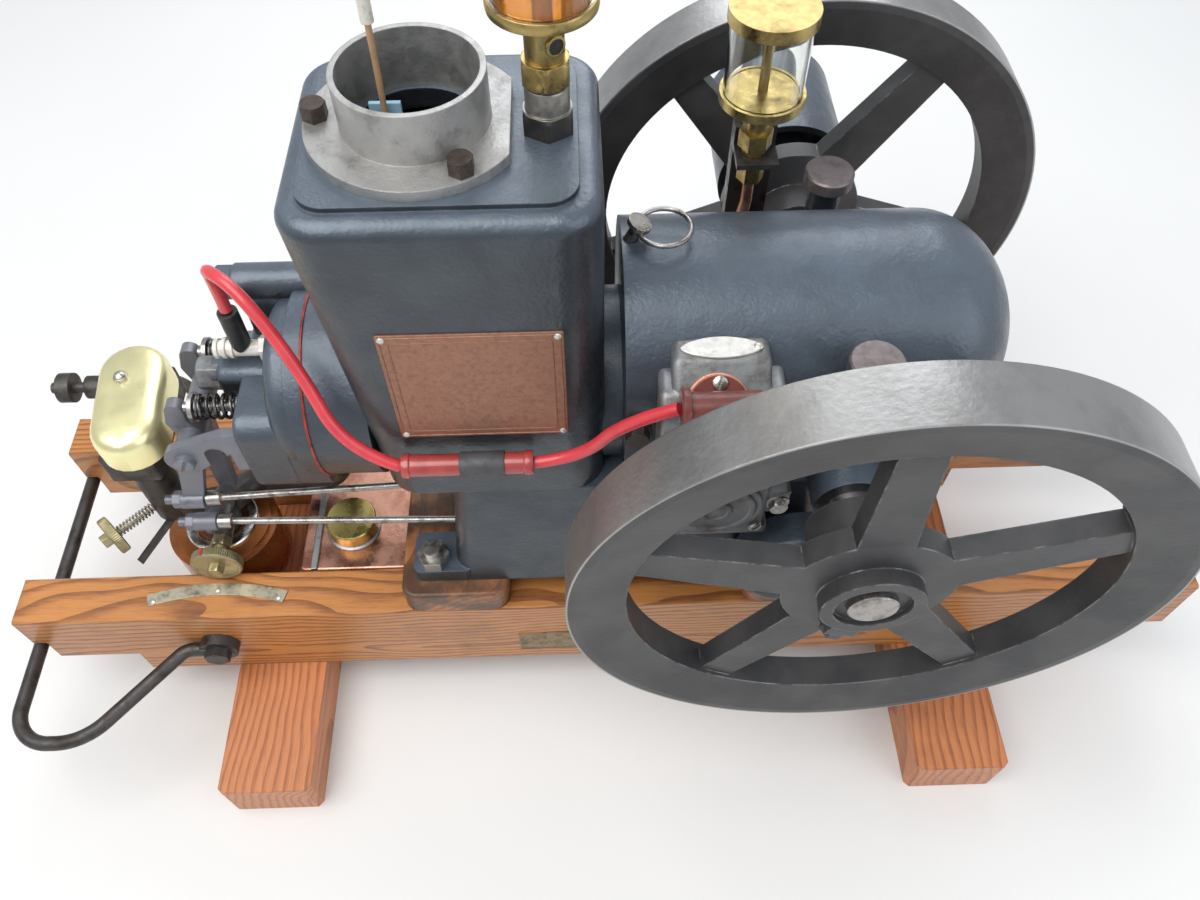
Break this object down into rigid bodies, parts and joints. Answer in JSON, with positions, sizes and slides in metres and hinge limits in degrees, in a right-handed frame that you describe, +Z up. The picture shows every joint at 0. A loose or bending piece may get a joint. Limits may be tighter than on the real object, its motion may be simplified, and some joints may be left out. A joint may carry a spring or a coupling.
{
  "type": "stationary kerosene engine",
  "caption": "Small horizontal hopper-cooled kerosene engine with flywheels and a belt pulley, bolted to a timber skid with a lifting loop.",
  "frame": {"origin": "middle of the part's footprint, at ground level under the cross timbers", "axes": "+X along the skid from the cylinder head to the crank, +Y towards the belt pulley, +Z up"},
  "size_m": [0.9135, 0.497, 0.614],
  "materials": {
    "rail_wood": "varnished, worn, with dark arched grain",
    "timber_wood": "pinkish brown, unvarnished and weathered",
    "bearer_wood": "dark and soaked with oil",
    "dark_steel": "dark, slightly rusty",
    "bare_steel": "bare and oily",
    "grey_steel": "lilac-grey, worn and oily",
    "black_paint": "semi-gloss black on rough casting, worn at the edges",
    "flywheel_paint": "dark grey paint, bright machined rim",
    "dull_aluminium": "dull cast aluminium with oily dirt",
    "blue_plastic": "pale blue, matt",
    "white_ceramic": "glazed white, slightly stained",
    "black_rubber": "wrapped in black tape",
    "bright_brass": "polished, with some tarnish",
    "dull_brass": "dull olive brown",
    "carburettor_metal": "dark casting, oily, with worn steel parts",
    "copper_bowl": "orange-brown copper, glossy and stained",
    "brown_wood_rod": "thin tan rod with a pale top",
    "oiler_brass": "yellow, lightly tarnished",
    "copper_tank": "pinkish copper sheet, stained",
    "brown_bakelite": "brown-red, glossy",
    "oiler_glass": "clear",
    "red_lead": "glossy red insulation"
  },
  "bodies": {
    "engine": {"front_rail": "rail_wood", "rear_rail": "rail_wood", "left_cross_timber": "timber_wood", "right_cross_timber": "timber_wood", "left_bearer": "bearer_wood", "right_bearer": "bearer_wood", "engine_bed": "black_paint", "foot_nuts": "bare_steel", "crankcase_cover": "black_paint", "oil_well_caps": "black_paint", "case_pin": "bare_steel", "end_strap": "bare_steel", "cylinder_block": "black_paint", "hopper_collar": "dull_aluminium", "gauge_rod": "brown_wood_rod", "gauge_clip": "blue_plastic", "cylinder_head": "black_paint", "exhaust_stub": "dark_steel", "spark_plug": "white_ceramic", "plug_boot": "black_rubber", "rocker_bracket": "grey_steel", "near_spring": "bare_steel", "far_spring": "bare_steel", "brass_cover": "bright_brass", "carburettor_body": "carburettor_metal", "fuel_bowl": "copper_bowl", "fuel_tank": "copper_tank", "fuel_cap": "bright_brass", "magneto": "dull_aluminium", "magneto_terminal": "brown_bakelite", "cam_case": "black_paint", "hopper_oiler": "oiler_brass", "hopper_oiler_glass": "oiler_glass", "bearing_oiler": "oiler_brass", "bearing_oiler_glass": "oiler_glass", "oil_pipe": "oiler_brass", "oiler_post": "dark_steel", "lead_sleeve": "brown_bakelite", "plug_lead": "red_lead", "magneto_lead": "red_lead"},
    "crank": {"crankshaft": "bare_steel", "near_flywheel": "flywheel_paint", "far_flywheel": "flywheel_paint", "belt_pulley": "black_paint"},
    "near_rocker_arm": {"near_rocker": "grey_steel"},
    "far_rocker_arm": {"far_rocker": "grey_steel"},
    "near_valve_stem": {"near_valve": "bare_steel"},
    "far_valve_stem": {"far_valve": "bare_steel"},
    "upper_rod": {"upper_pushrod": "bare_steel"},
    "lower_rod": {"lower_pushrod": "bare_steel"},
    "side_knob": {"side_needle": "dull_brass"},
    "front_knob": {"front_needle": "dull_brass"},
    "loop": {"lifting_loop": "dark_steel"}
  },
  "joints": [
    {"name": "crankshaft_spin", "type": "hinge", "parent": "engine", "child": "crank", "pos_m": [0.14875, -0.0455, 0.3], "axis": [0, 1, 0], "continuous": true},
    {"name": "near_rocker_swing", "type": "hinge", "parent": "engine", "child": "near_rocker_arm", "pos_m": [-0.28225, -0.0455, 0.277], "axis": [0, 1, 0], "range_deg": [0, 8], "stiffness_Nm_per_rad": 5, "springref_deg": -28.65},
    {"name": "far_rocker_swing", "type": "hinge", "parent": "engine", "child": "far_rocker_arm", "pos_m": [-0.28225, -0.0455, 0.277], "axis": [0, 1, 0], "range_deg": [0, 8], "stiffness_Nm_per_rad": 5, "springref_deg": -28.65},
    {"name": "near_valve_slide", "type": "slide", "parent": "engine", "child": "near_valve_stem", "axis": [1, 0, 0], "range_m": [0, 0.0038], "deforming": ["near_spring"]},
    {"name": "far_valve_slide", "type": "slide", "parent": "engine", "child": "far_valve_stem", "axis": [1, 0, 0], "range_m": [0, 0.0038], "deforming": ["far_spring"]},
    {"name": "upper_pushrod_slide", "type": "slide", "parent": "engine", "child": "upper_rod", "axis": [0.9989, 0.0478, 0], "range_m": [-0.0085, 0]},
    {"name": "lower_pushrod_slide", "type": "slide", "parent": "engine", "child": "lower_rod", "axis": [0.9997, -0.0241, 0], "range_m": [-0.012, 0]},
    {"name": "side_needle_turn", "type": "hinge", "parent": "engine", "child": "side_knob", "pos_m": [-0.33625, -0.0595, 0.18], "axis": [-0.7071, -0.7071, 0], "range_deg": [-180, 180]},
    {"name": "front_needle_turn", "type": "hinge", "parent": "engine", "child": "front_knob", "pos_m": [-0.29825, -0.1025, 0.156], "axis": [0, -1, 0], "range_deg": [-180, 180]},
    {"name": "lifting_loop_swing", "type": "hinge", "parent": "engine", "child": "loop", "pos_m": [-0.30925, -0.0455, 0.092], "axis": [0, -1, 0], "range_deg": [0, 25]}
  ],
  "couplings": [
    {"joint": "near_valve_slide", "follows": "near_rocker_swing", "m_per_rad": 0.026},
    {"joint": "far_valve_slide", "follows": "far_rocker_swing", "m_per_rad": 0.026},
    {"joint": "upper_pushrod_slide", "follows": "near_rocker_swing", "m_per_rad": -0.059},
    {"joint": "lower_pushrod_slide", "follows": "far_rocker_swing", "m_per_rad": -0.084}
  ]
}
